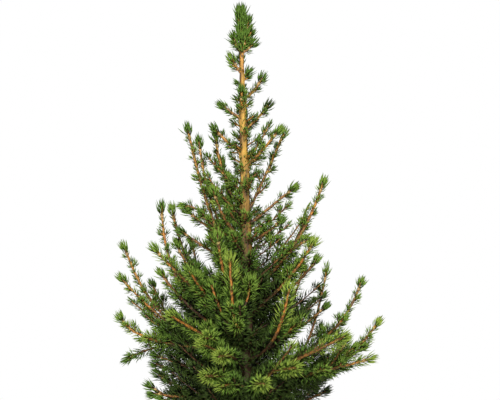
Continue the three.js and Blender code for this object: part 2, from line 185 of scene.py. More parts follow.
# Shoots: azimuth, height of the foot on the trunk, reach and height of the tip, curl, and any forks. A curl
# of 0 is straight, and one of 1 runs well out before it turns up. A fork is its turn from its shoot, its
# share of the length left, and its lift
boughShoots = {
    "left_high": (196, 288, 51, 431, 0.5, [-26, 0.8, -0.48]),
    "left_back_high": (156, 262, 71, 357, 1.1, [19, 0.5, 0.45], [-50, 0.6, 0]),
    "left_front_mid": (208, 250, 87, 326, 0.2, [30, 0.66, 0.05]),
    "left_mid": (174, 220, 108, 324, 1, [20, 0.73, 0.21], [-48, 0.54, 0.09]),
    "left_low": (193, 232, 111, 263, 1.4, [-22, 0.76, -0.37], [50, 0.6, 0]),
    "left_skirt": (186, 168, 84, 200, 0.5, [28, 0.9, 0], [-52, 0.9, 0.2]),
    "right_high": (344, 284, 74, 384, 0.7, [-27, 0.65, -0.25], [60, 0.5, 0]),
    "right_mid": (10, 213, 109, 291, 1.2, [9, 0.34, 2.1], [-54, 0.55, 0.1]),
    "right_low": (352, 185, 121, 258, 0.8, [47, 0.6, 0.15], [-42, 0.55, 0.35]),
    "right_skirt": (342, 196, 118, 229, 0.1, [20, 0.65, -0.05], [-44, 0.6, 0]),
    "right_front_low": (321, 206, 112, 253, 0.2, [30, 0.6, 0.15]),
    "front_high": (260, 234, 64, 320, 1.3, [-59, 0.39, 0.9], [80, 0.39, 0.9]),
    "front_right": (299, 222, 82, 294, 1.1, [26, 0.5, 0.2]),
    "front_left": (229, 223, 94, 271, 0, [24, 0.7, -0.2]),
    "front_low": (259, 202, 104, 240, -1.2, [-25, 0.75, -0.1], [-50, 0.5, 0]),
    "front_skirt": (280, 176, 104, 217, -1, [28, 0.85, 0.2], [-44, 0.75, -0.2]),
    "back_high": (92, 266, 70, 360, 0.8, [55, 0.6, 0.25], [-60, 0.6, 0.1]),
    "back_right": (57, 218, 103, 296, 0.8, [51, 0.6, 0.1], [-55, 0.75, 0]),
    "back_left": (126, 212, 104, 292, 0.9, [43, 0.7, 0.15], [-60, 0.6, 0]),
    "back_low": (108, 170, 109, 214, 0.5, [43, 0.8, 0.1], [-50, 0.8, 0.15]),
    "back_skirt": (42, 158, 104, 196, 0.5, [39, 0.85, 0.1], [-50, 0.65, 0.1]),
}
upperShoots = {
    "crown_right_top": (350, 458, 17, 477, 0.6),
    "crown_left_top": (186, 440, 18, 452, 0.2),
    "crown_front": (262, 449, 9, 465, 0.6),
    "crown_right_mid": (12, 431, 23, 452, 0.3),
    "crown_back": (88, 416, 22, 444, 0.5),
    "crown_left_mid": (174, 409, 25, 431, 0.3),
    "crown_right_low": (338, 397, 34, 430, 0.2),
    "upper_left": (163, 357, 26, 424, 0.9),
    "upper_right": (8, 343, 46, 378, 0),
    "upper_right_front": (334, 328, 37, 350, 0.4),
    "upper_right_back": (38, 352, 47, 427, 0.1),
    "upper_left_back": (118, 338, 42, 400, 0.5, [-40, 0.8, 0.3]),
    "upper_left_front": (226, 332, 37, 377, 0.8),
    "upper_front": (244, 272, 50, 339, 1.2),
}
# More shoots that the photo shows, thinner than the boughs' own, each after its side
slenderShoots = [
    ("left", 172, 301, 56, 338, 0), ("left", 176, 318, 50, 357, 0), ("left", 198, 184, 84, 196, 0.1),
    ("left", 186, 205, 78, 228, 0.3), ("left", 180, 190, 78, 219, 0.1), ("left", 176, 172, 77, 209, 0.3),
    ("left", 172, 262, 74.5, 361, 1.8), ("left", 174, 318, 40, 420, 1), ("right", 324, 262, 76, 332, 0.4),
    ("right", 5, 232, 74, 270, 0.6), ("front", 265, 234, 66, 263, -0.5), ("front", 251, 186, 97, 222, -1),
    ("front", 299, 196, 96, 228, -0.6), ("left", 198, 238, 76, 303, 0.5),
    ("left", 180, 212, 90, 276, 0.6), ("right", 352, 262, 66, 314, 0.5),
    ("right", 350, 188, 100, 236, 0.5), ("right", 354, 184, 108, 236, 0.5),
]
# Thin shoots that tangle beside the trunk and before it, in the same way
thicketShoots = [
    ("left", 186, 374, 33, 408, 0.2), ("left", 212, 352, 38, 392, 0.4), ("left", 150, 346, 40, 384, 0.3),
    ("left", 196, 326, 40, 356, 0.3), ("left", 178, 226, 101, 276, 0.6), ("left", 183, 220, 88, 264, 0.6),
    ("crown", 350, 400, 24, 436, 0.3), ("right", 356, 330, 41, 364, 0.2), ("right", 346, 300, 60, 362, 0.6),
    ("upper", 238, 366, 13, 384, 0.4), ("upper", 226, 340, 20, 362, 0.4), ("right", 346, 318, 42, 346, 0.2),
]
# Small side shoots of the leading shoot
leaderShoots = [
    (206, 512, 4, 532, 0.6), (24, 508, 5, 528, 0.6), (178, 500, 8, 513, 0.2), (12, 502, 7, 518, 0.4),
    (350, 499, 9, 508, 0.2), (290, 500, 5, 514, 0.3), (92, 501, 7, 512, 0.3), (186, 481, 10, 494, 0.2),
    (6, 476, 4, 482, 0.2), (110, 486, 6, 494, 0.2),
]
# Short shoots straight off the trunk and boughs, which fill the crown's middle
inner = {
    "lowest": 156, "highest": 476, "start": 0.8, "rise": 24, "lift": 0.2,
    "levels": [156, 200, 242, 278, 305, 341, 385, 476],
    "lengths": [56, 72, 60, 48, 32, 22, 13, 4],
    "spacings": [1.4, 1.1, 1.2, 1.5, 2.8, 3.6, 3.6, 5],
    "shades": [0.38, 0.35, 0.28, 0.2, 0.08, 0, 0, 0],
    "middle": 225, "spread": (0.7, 1.2), "twigSpread": (0.7, 1.2), "spurSpread": (0.8, 1.3),
}
# Open places that show the sky, seen from the front: X, height and radius
openPlaces = [(55.8, 246, 14), (51.3, 289, 13), (63, 279, 7), (76, 272, 9), (69, 262, 7), (22, 312, 9),
              (14, 330, 9), (20, 370, 11), (45, 342, 9), (-38.7, 315, 9), (-74.7, 264, 8), (-72, 192, 8)]
# Dark hollows between the front's shoots, in the same way: no spray fills them before the first Y, and what
# lies behind the second is dark with painted shade
hollows = [(20, 268, 24), (10, 240, 28), (-54, 262, 20)]
hollow = {"clearBefore": -26, "darkBehind": -45, "shade": 2.5, "rim": 0.1}
growth = {
    "curlOut": 0.25, "curlUp": 0.3, "bareShare": 0.22, "overlap": 0.01,
    "headroom": 3, "tipRoom": 7, "goldenAngle": 137.508, "steep": 0.96, "forkFirst": 0.14, "forkStep": 0.2,
}
# Short side shoots: their spacing, between which shares of a limb, their lean, lengths, spread and lift
sideShoots = {
    "twig": {"spacing": 14, "first": 0.05, "last": 0.9, "angle": 50, "long": 28, "share": 0.26,
             "short": 4, "spread": (0.8, 1.1), "lift": 0.25},
    "spur": {"spacing": 5.5, "first": 0.03, "last": 0.95, "angle": 50, "long": 9, "share": 0.22,
             "short": 2.5, "spread": (0.6, 1.3), "lift": 0.1},
}
seeds = {
    "twigs": 1, "spurs": 101, "inner": 200, "innerTwigs": 202, "innerSpurs": 201,
    "needles": 11, "tubes": 31, "soil": 71,
}
# Each kind of limb: its radii, how round and how finely bent it is, its needles for each mm of its length
# and their length, both bare in the open and leafy in the shade, their lean at its foot and tip, and the
# count, length and radius of the needles in the tuft at its end
limbKinds = {
    "leader": {"foot": 2.2, "tip": 1.2, "sides": 8, "step": 4, "dense": (9, 9), "long": (12, 12),
               "lean": (32, 12), "first": 0.3, "tuft": 90, "tuftLong": (11.5, 11.5), "thick": 0.65},
    "stem": {"foot": 1.55, "tip": 1.05, "sides": 8, "step": 2.5, "dense": (1.1, 3), "long": (6, 12.5),
             "lean": (62, 38), "tuft": 32, "tuftLong": (9, 10.5), "thick": 0.6},
    "fork": {"foot": 1.3, "tip": 0.9, "sides": 7, "step": 2.5, "dense": (1.1, 3), "long": (6, 12.5),
             "lean": (62, 38), "tuft": 28, "tuftLong": (8.5, 10.5), "thick": 0.6},
    "twig": {"foot": 0.85, "tip": 0.65, "sides": 5, "step": 6, "dense": (1.3, 2.5), "long": (5.5, 11.5),
             "lean": (58, 42), "tuft": 16, "tuftLong": (6.5, 9.5), "thick": 0.45},
    "spur": {"foot": 0.6, "tip": 0.5, "sides": 3, "step": 5, "dense": (0.5, 1.5), "long": (4.5, 9),
             "lean": (50, 34), "tuft": 8, "tuftLong": (5.5, 8), "thick": 0.36},
    "trunk": {"foot": 7, "tip": 3, "dense": (2, 2.5), "long": (8, 10), "lean": (60, 50), "tuft": 0},
}
# The crown's reach, its dense middle, and the heights over which its front and its skirt grow leafy
crown = {
    "foot": 150, "footRadius": 122, "top": 545, "tipRadius": 10, "taper": 0.9,
    "shadeDepth": 90, "outmost": 1.1,
    "levels": [200, 242, 278, 305, 341, 368], "denseRadii": [60, 68, 62, 38, 12, 0], "fade": 20,
    "leafyFrom": (355, 310), "frontLeafy": 2.2, "frontStart": 0.45,
    "skirtFrom": (262, 232), "skirtLeafy": 0.45,
}
up = np.array([0.0, 0.0, 1.0])


# A seeded run of numbers from 0 to 1, the same run as in the solids
def randomFrom(seed):
    state = seed
    while True:
        state = (state * 1664525 + 1013904223) % 4294967296
        yield state / 4294967296


def mix(a, b, t):
    return a + (b - a) * t


# How far a value is on its way from one number to another, from least to 1
def progress(value, start, end, least=0):
    return np.clip((value - start) / (end - start), least, 1)


def unit(vectors):
    return vectors / np.linalg.norm(vectors, axis=-1, keepdims=True)


def trunkMiddle(height):
    grown = height - trunk["ground"]
    x = trunk["sway"] * np.sin(2 * np.pi * grown / trunk["swayLength"])
    y = trunk["sideShare"] * trunk["sway"] * np.sin(3 * np.pi * grown / trunk["swayLength"])
    return np.array([x, y, height])


def trunkRadius(height):
    grown = height - trunk["ground"]
    left = max(0, 1 - grown / (trunk["top"] - trunk["ground"]))
    return (trunk["tipRadius"] + (trunk["footRadius"] - trunk["tipRadius"]) * left ** trunk["taper"]
            + trunk["flare"] * math.exp(-grown / trunk["flareHeight"]))


def outward(azimuth):
    turn = math.radians(azimuth)
    return np.array([math.cos(turn), math.sin(turn), 0])


# A curve is three places: its start, the corner that it bends round, and its end
def pointAt(curve, t):
    t = np.asarray(t, float)[..., None]
    return (1 - t) ** 2 * curve[0] + 2 * t * (1 - t) * curve[1] + t ** 2 * curve[2]


def slopeAt(curve, t):
    t = np.asarray(t, float)[..., None]
    return 2 * (1 - t) * (curve[1] - curve[0]) + 2 * t * (curve[2] - curve[1])


def lengthOf(curve):
    return np.linalg.norm(np.diff(pointAt(curve, np.linspace(0, 1, 201)), axis=0), axis=1).sum()


# The whole curve of a shoot, from the trunk's middle to its tip
def shootCurve(azimuth, foot, reach, tip, curl):
    start = trunkMiddle(foot)
    end = outward(azimuth) * reach + up * tip
    out, rise = 0.5 + curl * growth["curlOut"], 0.5 - curl * growth["curlUp"]
    return np.array([start, start + (end - start) * [out, out, rise], end])


def stretch(curve, first, last):
    start = pointAt(curve, first)
    return np.array([start, start + slopeAt(curve, first) * (last - first) / 2, pointAt(curve, last)])


# Two directions square to a limb's own, the second one on its upper side
def across(direction):
    steep = np.abs(direction[..., 2:]) > growth["steep"]
    side = unit(np.cross(direction, np.where(steep, [0, 1, 0], up)))
    return side, np.cross(side, direction)


# Directions that lean off another by an angle, on the side that roll gives
def leaning(direction, angle, roll):
    side, top = across(direction)
    angle, roll = np.radians(angle)[..., None], np.radians(roll)[..., None]
    return np.cos(angle) * direction + np.sin(angle) * (np.cos(roll) * side + np.sin(roll) * top)


# A curve from a place, first along a direction and then lifted
def sprout(start, direction, length, lift):
    end = start + direction * length + up * length * lift
    return np.array([start, start + direction * length / 2, end])


boxLow, boxHigh = [np.array(corner) / mm for corner in cadBox]


# Whether a limb stays within the plant's reach and off the pot and the soil
def hasRoom(curve):
    end = curve[2]
    insideRim = math.hypot(end[0], end[1]) < pot["innerRimRadius"] - 2 * growth["headroom"]
    floor = (soil["level"] if insideRim else pot["height"]) + 3 * growth["headroom"]
    room = growth["tipRoom"]
    return end[2] > floor and np.all(end > boxLow + room) and np.all(end < boxHigh - room)


def turnedAboutZ(direction, degrees):
    x, y, z = direction
    c, s, _ = outward(degrees)
    return np.array([c * x - s * y, s * x + c * y, z])


def growForks(limbs, forks):
    stem = limbs[0]["curve"]
    for i, (turn, share, lift) in enumerate(forks):
        t = growth["forkFirst"] + i * growth["forkStep"]
        direction = turnedAboutZ(unit(slopeAt(stem, t)), turn)
        curve = sprout(pointAt(stem, t), direction, lengthOf(stem) * (1 - t) * share, lift)
        if hasRoom(curve):
            limbs.append({"curve": curve, "kind": "fork"})


def crownRadius(height):
    left = progress(height, crown["top"], crown["foot"])
    return mix(crown["tipRadius"], crown["footRadius"], left ** crown["taper"])


# How far out in the crown a place is, from 0 deep inside to 1 at its reach
def outness(place):
    depth = crownRadius(place[2]) - math.hypot(place[0], place[1])
    return np.clip(1 - depth / crown["shadeDepth"], 0, crown["outmost"])


def frontness(place):
    return max(0, -place[1] / crownRadius(place[2]))


# How leafy a limb is there, from 0 for bare stems with spurs to 1 for long close needles all along: on the
# front, inside the crown's dense middle, and somewhat on its skirt
def leafiness(place):
    dense = np.interp(place[2], crown["levels"], crown["denseRadii"])
    inside = (dense + crown["fade"] - math.hypot(place[0], place[1])) / crown["fade"]
    front = crown["frontLeafy"] * frontness(place) - crown["frontStart"]
    skirt = crown["skirtLeafy"] * progress(place[2], *crown["skirtFrom"])
    return progress(place[2], *crown["leafyFrom"]) * np.clip(max(front, inside, skirt), 0, 1)


def showsSky(place):
    return any(math.hypot(place[0] - x, place[2] - height) < radius for x, height, radius in openPlaces)


# How near a place is to a hollow's middle, from 0 at its rim to 1
def hollowness(place):
    near = [1 - math.hypot(place[0] - x, place[2] - height) / radius for x, height, radius in hollows]
    return max(0, *near)


# Whether a spray that ends there would close an open place or a hollow
def closesGap(place):
    return showsSky(place) or hollowness(place) > 0 and place[1] < hollow["clearBefore"]


# Short side shoots round each limb, by the golden angle; leafy limbs have no spurs
def growSides(limbs, random, kind, spread=None):
    rule = sideShoots[kind]
    spread = spread or rule["spread"]
    for limb in list(limbs):
        curve = limb["curve"]
        count = int(lengthOf(curve) / rule["spacing"])
        longest = max(min(rule["long"], rule["share"] * lengthOf(curve)), rule["short"])
        roll = next(random) * 360
        for i in range(count):
            share = (i + 0.5) / count
            t = mix(rule["first"], rule["last"], share)
            length = mix(rule["short"], longest, (1 - share) ** 2) * mix(*spread, next(random))
            roll += growth["goldenAngle"]
            direction = leaning(unit(slopeAt(curve, t)), rule["angle"], roll)
            side = sprout(pointAt(curve, t), direction, length, rule["lift"])
            isHidden = kind == "spur" and leafiness(pointAt(curve, t)) > next(random)
            if hasRoom(side) and not isHidden and not closesGap(side[2]):
                limbs.append({"curve": side, "kind": kind})


leaderFoot, leaderTip = trunkMiddle(leader["foot"]), trunkMiddle(leader["tip"])
leaderCurve = np.array([leaderFoot, (leaderFoot + leaderTip) / 2, leaderTip])
upperTrunk = np.array([trunkMiddle(height) for height in trunk["needled"]])
masses = {"leading_shoot": [
    {"curve": leaderCurve, "kind": "leader"}, {"curve": upperTrunk, "kind": "trunk"}]}
boughCurves = {}
allShoots = upperShoots | boughShoots
for group, shoots in (("slender", slenderShoots), ("thicket", thicketShoots)):
    allShoots.update({f"{side}_{group}_{i}": shoot for i, (side, *shoot) in enumerate(shoots)})
allShoots.update({f"leading_{i}": shoot for i, shoot in enumerate(leaderShoots)})
for number, (name, shoot) in enumerate(allShoots.items()):
    azimuth, foot, reach, tip, curl, *forks = shoot
    curve = shootCurve(azimuth, foot, reach, tip, curl)
    if name in boughShoots:
        boughCurves[name] = stretch(curve, 0, growth["bareShare"])
        curve = stretch(curve, growth["bareShare"] - growth["overlap"], 1)
    limbs = [{"curve": curve, "kind": "twig" if "thicket" in name else "stem"}]
    growForks(limbs, forks)
    growSides(limbs, randomFrom(seeds["twigs"] + number), "twig")
    growSides(limbs, randomFrom(seeds["spurs"] + number), "spur")
    masses[name] = limbs

filling = []
random = randomFrom(seeds["inner"])
height, roll = inner["lowest"], 0
while height < inner["highest"]:
    longest, spacing = [np.interp(height, inner["levels"], inner[key]) for key in ("lengths", "spacings")]
    level = outward(roll)
    direction = unit(level + up * math.tan(math.radians(inner["rise"])))
    start = trunkMiddle(height) + level * inner["start"] * trunkRadius(height)
    curve = sprout(start, direction, longest * mix(*inner["spread"], next(random)), inner["lift"])
    if hasRoom(curve) and not closesGap(curve[2]):
        filling.append({"curve": curve, "kind": "twig"})
    height += spacing
    roll += growth["goldenAngle"]
growSides(filling, randomFrom(seeds["innerTwigs"]), "twig", inner["twigSpread"])
filling += [{"curve": curve, "kind": "fork"} for curve in boughCurves.values()]
growSides(filling, randomFrom(seeds["innerSpurs"]), "spur", inner["spurSpread"])
for limb in filling:
    if limb["kind"] != "fork":
        isLow = limb["curve"][0][2] < inner["middle"]
        masses.setdefault("inner_low" if isLow else "inner_high", []).append(limb)
print("growth:", sum(len(limbs) for limbs in masses.values()), "limbs")


# The plant's sides, each a piece of needles and one of twigs, and how the names of its masses start
plantSides = {"crown": ("leading", "crown", "upper")}
plantSides.update({side: side for side in ("left", "right", "front", "back", "inner_low", "inner_high")})


def massesOf(side):
    return {name: limbs for name, limbs in masses.items() if name.startswith(plantSides[side])}


# Needles: closed slivers of six faces, widest at their middle and bowed towards the shoot's tip
needle = {
    "spread": (0.75, 1.12), "radius": 0.44, "leaderRadius": 0.65, "widestAt": 0.5, "bow": 0.05,
    "rooted": 0.6, "segment": 16, "first": 0.02, "last": 0.97, "jitterLean": 7, "jitterRoll": 25,
    "tuftLength": 6, "tuftFirst": 0.1, "tuftLean": (27, 5), "blunt": 0.35,
}
# Greens of the needles, from the tips of the shoots inwards: lighter young growth, with painted light and
# shade
needleGreensLitToShaded = {
    "youngAndLit": "#7b8e35", "freshAndLit": "#667f2d", "full": "#4d6922", "oldAndShaded": "#364817", "deep": "#141b0d",
}
# The painted light of a spray: what it has at first, what its place, its tip and chance add or take away,
# the heights over which that comes in, and the least light of each green
paintedSprayLight = {
    "first": 0.25, "deep": 0.55, "front": 0.62, "frontPower": 1.5, "low": 0.2, "high": 0.12, "tip": 0.08,
    "chance": 0.3, "lowFrom": (250, 150), "highFrom": (330, 420), "frontFrom": (480, 360, 0.6),
    "deepFrom": (400, 260, 0.15), "least": [0.75, 0.45, 0.2, 0.0],
}


# The number of a spray's green, with painted light and shade: fresh where light falls, on the front and the
# tips, and deep inside
def greenOf(place, isTip, chance, shade):
    low, high = [progress(place[2], *paintedSprayLight[key]) for key in ("lowFrom", "highFrom")]
    front = frontness(place) ** paintedSprayLight["frontPower"] * progress(place[2], *paintedSprayLight["frontFrom"])
    deep = (1 - outness(place)) * progress(place[2], *paintedSprayLight["deepFrom"])
    lit = (paintedSprayLight["first"] - shade - paintedSprayLight["deep"] * deep + paintedSprayLight["front"] * front - paintedSprayLight["low"] * low
           - paintedSprayLight["high"] * high + paintedSprayLight["tip"] * front * isTip + (chance - 0.5) * paintedSprayLight["chance"])
    return sum(lit < least for least in paintedSprayLight["least"])


# Painted shade on a spray: by height on the short shoots that fill the crown's middle, and in the hollows
def shadeOf(side, place):
    shade = np.interp(place[2], inner["levels"], inner["shades"]) if side.startswith("inner") else 0
    return shade + min(1, hollow["shade"] * hollowness(place)) * (place[1] > hollow["darkBehind"])


# Roots, directions, outward sides, lengths, greens and radii of one run of needles on a limb; blunt makes
# the first ones longer, so that a tuft ends level
def needleRun(limb, count, first, last, lean, longest, radius, green, random, blunt=0):
    kind = limbKinds[limb["kind"]]
    share = (np.arange(count) + random.uniform(0, 1, count)) / count
    t = mix(first, last, share)
    axis = unit(slopeAt(limb["curve"], t))
    roll = np.arange(count) * growth["goldenAngle"] + random.uniform(0, 360)
    roll = roll + random.normal(0, needle["jitterRoll"], count)
    angle = mix(lean[0], lean[1], share) + random.normal(0, needle["jitterLean"], count)
    direction = leaning(axis, angle, roll)
    off = unit(direction - (direction * axis).sum(1)[:, None] * axis)
    root = pointAt(limb["curve"], t) + off * (mix(kind["foot"], kind["tip"], t)[:, None] * needle["rooted"])
    length = longest * mix(1 + blunt, 1, share) * random.uniform(*needle["spread"], count)
    return root, direction, off, length, np.full(count, green), np.full(count, radius)


# Each needle's tip half is one green fresher than its root half
def needleMesh(name, runs, random, tipStep=1):
    root, direction, off, length, green, radius = [np.concatenate(part) for part in zip(*runs)]
    count = len(root)
    widest = root + direction * (length * needle["widestAt"])[:, None]
    widest += off * (length * needle["bow"])[:, None]
    tip = root + direction * length[:, None]
    first, second = across(direction)
    turn = random.uniform(0, 2 * np.pi, count)
    places = np.empty((count, 5, 3))
    places[:, 0], places[:, 4] = root, tip
    for i in range(3):
        angle = (turn + i * 2 * np.pi / 3)[:, None]
        places[:, 1 + i] = widest + radius[:, None] * (np.cos(angle) * first + np.sin(angle) * second)
    corners = np.array([[0, 1, 2], [0, 2, 3], [0, 3, 1], [4, 2, 1], [4, 3, 2], [4, 1, 3]])
    corners = (corners[None] + 5 * np.arange(count)[:, None, None]).reshape(-1, 3)
    kinds = np.repeat(np.stack([green, np.maximum(green - tipStep, 0)], 1), 3, axis=1)
    return meshFromArrays(name, places.reshape(-1, 3), corners, kinds.ravel())


# Spruce needles: waxy, with a soft gloss that breaks up along each needle
def needleMaterial(name, colour):
    material, tree, shader, place = newMaterial(
        "spruceNeedles_" + name, Base_Color=linear(colour), IOR=1.45, Specular_IOR_Level=0.22)
    gloss = addRange(tree, addNoise(tree, place, 3, 2), 0.38, 0.62)
    tree.links.new(gloss, shader.inputs["Roughness"])
    return material


# The runs of needles on a limb: one for each short stretch of it, and then the tuft at its end
def runsOn(limb, side, random):
    runs = []
    kind, curve = limbKinds[limb["kind"]], limb["curve"]
    length, start = lengthOf(curve), kind.get("first", needle["first"])
    stretches = max(1, round(length * (1 - start) / needle["segment"]))
    thick = needle["leaderRadius" if limb["kind"] == "leader" else "radius"]
    for i in range(stretches):
        first, last = [mix(start, needle["last"], step / stretches) for step in (i, i + 1)]
        middle = pointAt(curve, (first + last) / 2)
        leafy = 0 if showsSky(middle) else leafiness(middle)
        count = int(length * (last - first) * mix(*kind["dense"], leafy))
        if count:
            green = greenOf(middle, False, random.uniform(), shadeOf(side, middle))
            longest = mix(*kind["long"], leafy)
            lean = [mix(*kind["lean"], step / stretches) for step in (i, i + 1)]
            runs.append(needleRun(limb, count, first, last, lean, longest, thick, green, random))
    if kind["tuft"]:
        first = max(needle["tuftFirst"], 1 - needle["tuftLength"] / length)
        green = greenOf(curve[2], True, random.uniform(), shadeOf(side, curve[2]))
        longest = mix(*kind["tuftLong"], leafy)
        thick = mix(kind["thick"], needle["radius"], leafy)
        runs.append(needleRun(limb, kind["tuft"], first, 1, needle["tuftLean"], longest, thick, green,
                              random, needle["blunt"]))
    return runs


needleMaterials = {name: needleMaterial(name, colour) for name, colour in needleGreensLitToShaded.items()}
# The masses that the solids have too, which these pieces replace
packedMasses = {"leading_shoot", *upperShoots, *boughShoots}
needleCount = 0
for number, side in enumerate(plantSides):
    random = np.random.default_rng(seeds["needles"] + number)
    limbs = sum(massesOf(side).values(), [])
    runs = [run for limb in limbs for run in runsOn(limb, side, random)]
    mesh = needleMesh(side + "_needles", runs, random)
    replaced = [name + "_foliage" for name in massesOf(side) if name in packedMasses]
    addPiece(side + "_needles", mesh, needleMaterials.values(), replaced)
    needleCount += len(mesh.polygons) // 6
    print("needles:", side, len(mesh.polygons), "triangles")
print("needles:", needleCount, "in all")


# Twigs: closed tubes with uneven sides, from the needle pegs. Their bark goes by how far out, how leafy and
# how far forward they are, and by their height, partly by its age and partly as painted light and shade
twigBark = {
    "relief": 0.15, "russetOut": 0.35, "leafy": 0.5, "honeyFront": 0.35, "honeyOut": 0.4, "honeyAbove": 255,
    "openHoneyOut": 0.93, "goldenOut": 1, "goldenAbove": 390,
}
# Papery bud scales round the foot of the last tuft, their radii as shares of the limb's own at its tip
collar = {"length": 2, "before": 1, "foot": 1.2, "tip": 1.6, "sides": 7, "step": 2}


# A tube's places and corners, and how far along it each face is
def tubeArrays(curve, kind, random):
    sides, tipRadius = kind["sides"], kind["tip"]
    rings = max(2, round(lengthOf(curve) / kind["step"])) + 1
    t = np.linspace(0, 1, rings)
    first, second = across(unit(slopeAt(curve, t)))
    angle = np.linspace(0, 2 * np.pi, sides, endpoint=False)[None, :, None]
    radius = mix(kind["foot"], tipRadius, t)[:, None, None]
    radius = radius * (1 + random.normal(0, twigBark["relief"], (rings, sides, 1)))
    rim = np.cos(angle) * first[:, None] + np.sin(angle) * second[:, None]
    places = pointAt(curve, t)[:, None] + radius * rim
    ends = np.array([curve[0], curve[2] + unit(slopeAt(curve, 1.0)) * tipRadius])
    places = np.concatenate([places.reshape(-1, 3), ends])
    ring, side = np.indices((rings - 1, sides)).reshape(2, -1)
    a, b = ring * sides + side, ring * sides + (side + 1) % sides
    around = np.arange(sides)
    onwards = (around + 1) % sides
    last = (rings - 1) * sides
    foot, tip = np.full(sides, rings * sides), np.full(sides, rings * sides + 1)
    corners = np.concatenate([np.stack(face, 1) for face in (
        (a, a + sides, b), (b, a + sides, b + sides),
        (around, onwards, foot), (last + onwards, last + around, tip))])
    ringOf = np.concatenate([ring, ring, np.zeros(sides, int), np.full(sides, rings - 2)])
    return places, corners, (ringOf + 0.5) / (rings - 1)


# Spruce bark of the last years' growth: smooth and honey-coloured on the outer shoots, with darker pegs
# where needles stood, and browner and duller further in, with age and with painted shade; the bud scales
# are pale tan and dry
def twigMaterial(name, pale, dark, roughness):
    material, tree, shader, place = newMaterial("spruceTwigBark_" + name, Roughness=roughness, IOR=1.5)
    pegs = addNoise(tree, place, 2.2, 3)
    tree.links.new(addRamp(tree, pegs, [(0.42, dark), (0.58, pale)]), shader.inputs["Base Color"])
    addRelief(tree, shader, pegs, 0.5, 0.3)
    return material


# Bark looks, young to older; golden and honey also stand for painted light, brown and russet for painted
# shade
twigLooks = {
    "golden": ("#a67626", "#553711", 0.55),
    "honey": ("#ac7029", "#643d14", 0.6),
    "brown": ("#835a23", "#482e12", 0.65),
    "russet": ("#583a1b", "#301f10", 0.7),
    "budScales": ("#b0935c", "#7d6138", 0.7),
}
twigMaterials = [twigMaterial(name, *look) for name, look in twigLooks.items()]
barkNumbers = {name: number for number, name in enumerate(twigLooks)}


# A limb's bark at a place: golden in the open, honey on the front's stems, then brown, and russet inside
def barkAt(place, kind):
    # Beside the bark's own age, light is painted on open and front stems, and shade inside and in the
    # hollows
    out, isLeafy = outness(place), leafiness(place) > twigBark["leafy"]
    isHollow = hollowness(place) > hollow["rim"] and place[1] > hollow["darkBehind"]
    if out < twigBark["russetOut"] or isHollow or isLeafy and kind not in ("stem", "fork"):
        return "russet"
    if isLeafy:
        isFront = frontness(place) > twigBark["honeyFront"] and place[2] > twigBark["honeyAbove"]
        return "honey" if isFront and out > twigBark["honeyOut"] else "brown"
    if out > twigBark["goldenOut"] or place[2] > twigBark["goldenAbove"]:
        return "golden"
    return "honey" if out > twigBark["openHoneyOut"] else "brown"


# A limb's tube and, if it's a stem or a fork in the open, its bud scales, each as places, corners and barks
def tubesOf(limb, random):
    kind, curve = limbKinds[limb["kind"]], limb["curve"]
    places, corners, along = tubeArrays(curve, kind, random)
    share, back = np.unique(along, return_inverse=True)
    barks = np.array([barkNumbers[barkAt(pointAt(curve, t), limb["kind"])] for t in share])
    tubes = [(places, corners, barks[back])]
    if limb["kind"] in ("stem", "fork") and leafiness(curve[2]) < twigBark["leafy"]:
        length = lengthOf(curve)
        first = 1 - (needle["tuftLength"] + collar["before"]) / length
        scales = stretch(curve, first, first + collar["length"] / length)
        radii = {end: kind["tip"] * collar[end] for end in ("foot", "tip")}
        places, corners, along = tubeArrays(scales, {**collar, **radii}, random)
        tubes.append((places, corners, np.full(len(corners), barkNumbers["budScales"])))
    return tubes


for number, side in enumerate(plantSides):
    random = np.random.default_rng(seeds["tubes"] + number)
    tubes, made = [], 0
    for limb in sum(massesOf(side).values(), []):
        if limb["kind"] != "trunk":
            for places, corners, barks in tubesOf(limb, random):
                tubes.append((places, corners + made, barks))
                made += len(places)
    mesh = meshFromArrays(side + "_twigs", *[np.concatenate(part) for part in zip(*tubes)])
    addPiece(side + "_twigs", mesh, twigMaterials)
    print("twigs:", side, len(mesh.polygons), "triangles")


# The trunk and boughs: a cone cut into rings, bent along its line and given the bark's relief. A wave is
# its turns round the limb, its lean, its start and its depth; cracks and scales are how fine they are round
# the limb and along it, and how deep
bark = {
    "trunkSides": 32, "trunkRings": 220, "over": 2, "crowding": 1.15, "fullRelief": 4,
    "boughSides": 12, "boughRings": 14, "boughFoot": 2.7, "boughTip": 1.6, "boughRelief": 0.4,
    "reliefLength": 40, "reliefStep": 100,
    "furrows": 0.42, "waves": [(7, 0.05, 0, 1), (11, -0.08, 1.3, 0.7)], "waveDepth": 0.5,
    "cracks": (2.2, 0.06, 2.2), "scales": (4, 0.45, 1.2),
    "collar": 1.3, "collarHeight": 5, "collarWidth": 0.55, "collarReach": 3,
}


# A cone of unit length along Z, cut across into rings
def ringedCone(sides, rings):
    shape = bmesh.new()
    bmesh.ops.create_cone(shape, cap_ends=True, segments=sides, radius1=1, radius2=1, depth=1)
    upright = [e for e in shape.edges if abs(e.verts[0].co.z - e.verts[1].co.z) > 0.5]
    bmesh.ops.subdivide_edges(shape, edges=upright, cuts=rings, use_grid_fill=False)
    bmesh.ops.translate(shape, verts=shape.verts, vec=(0, 0, 0.5))
    return shape


# Long low furrows between plates of bark, in millimetres
def furrows(angle, height):
    waves = [deep * math.sin(turns * angle + lean * height + start)
             for turns, lean, start, deep in bark["waves"]]
    depth = bark["waveDepth"] * sum(waves)
    for around, along, deep in (bark["cracks"], bark["scales"]):
        place = Vector((around * math.cos(angle), around * math.sin(angle), along * height))
        depth += deep * noise.noise(place)
    return bark["furrows"] * depth


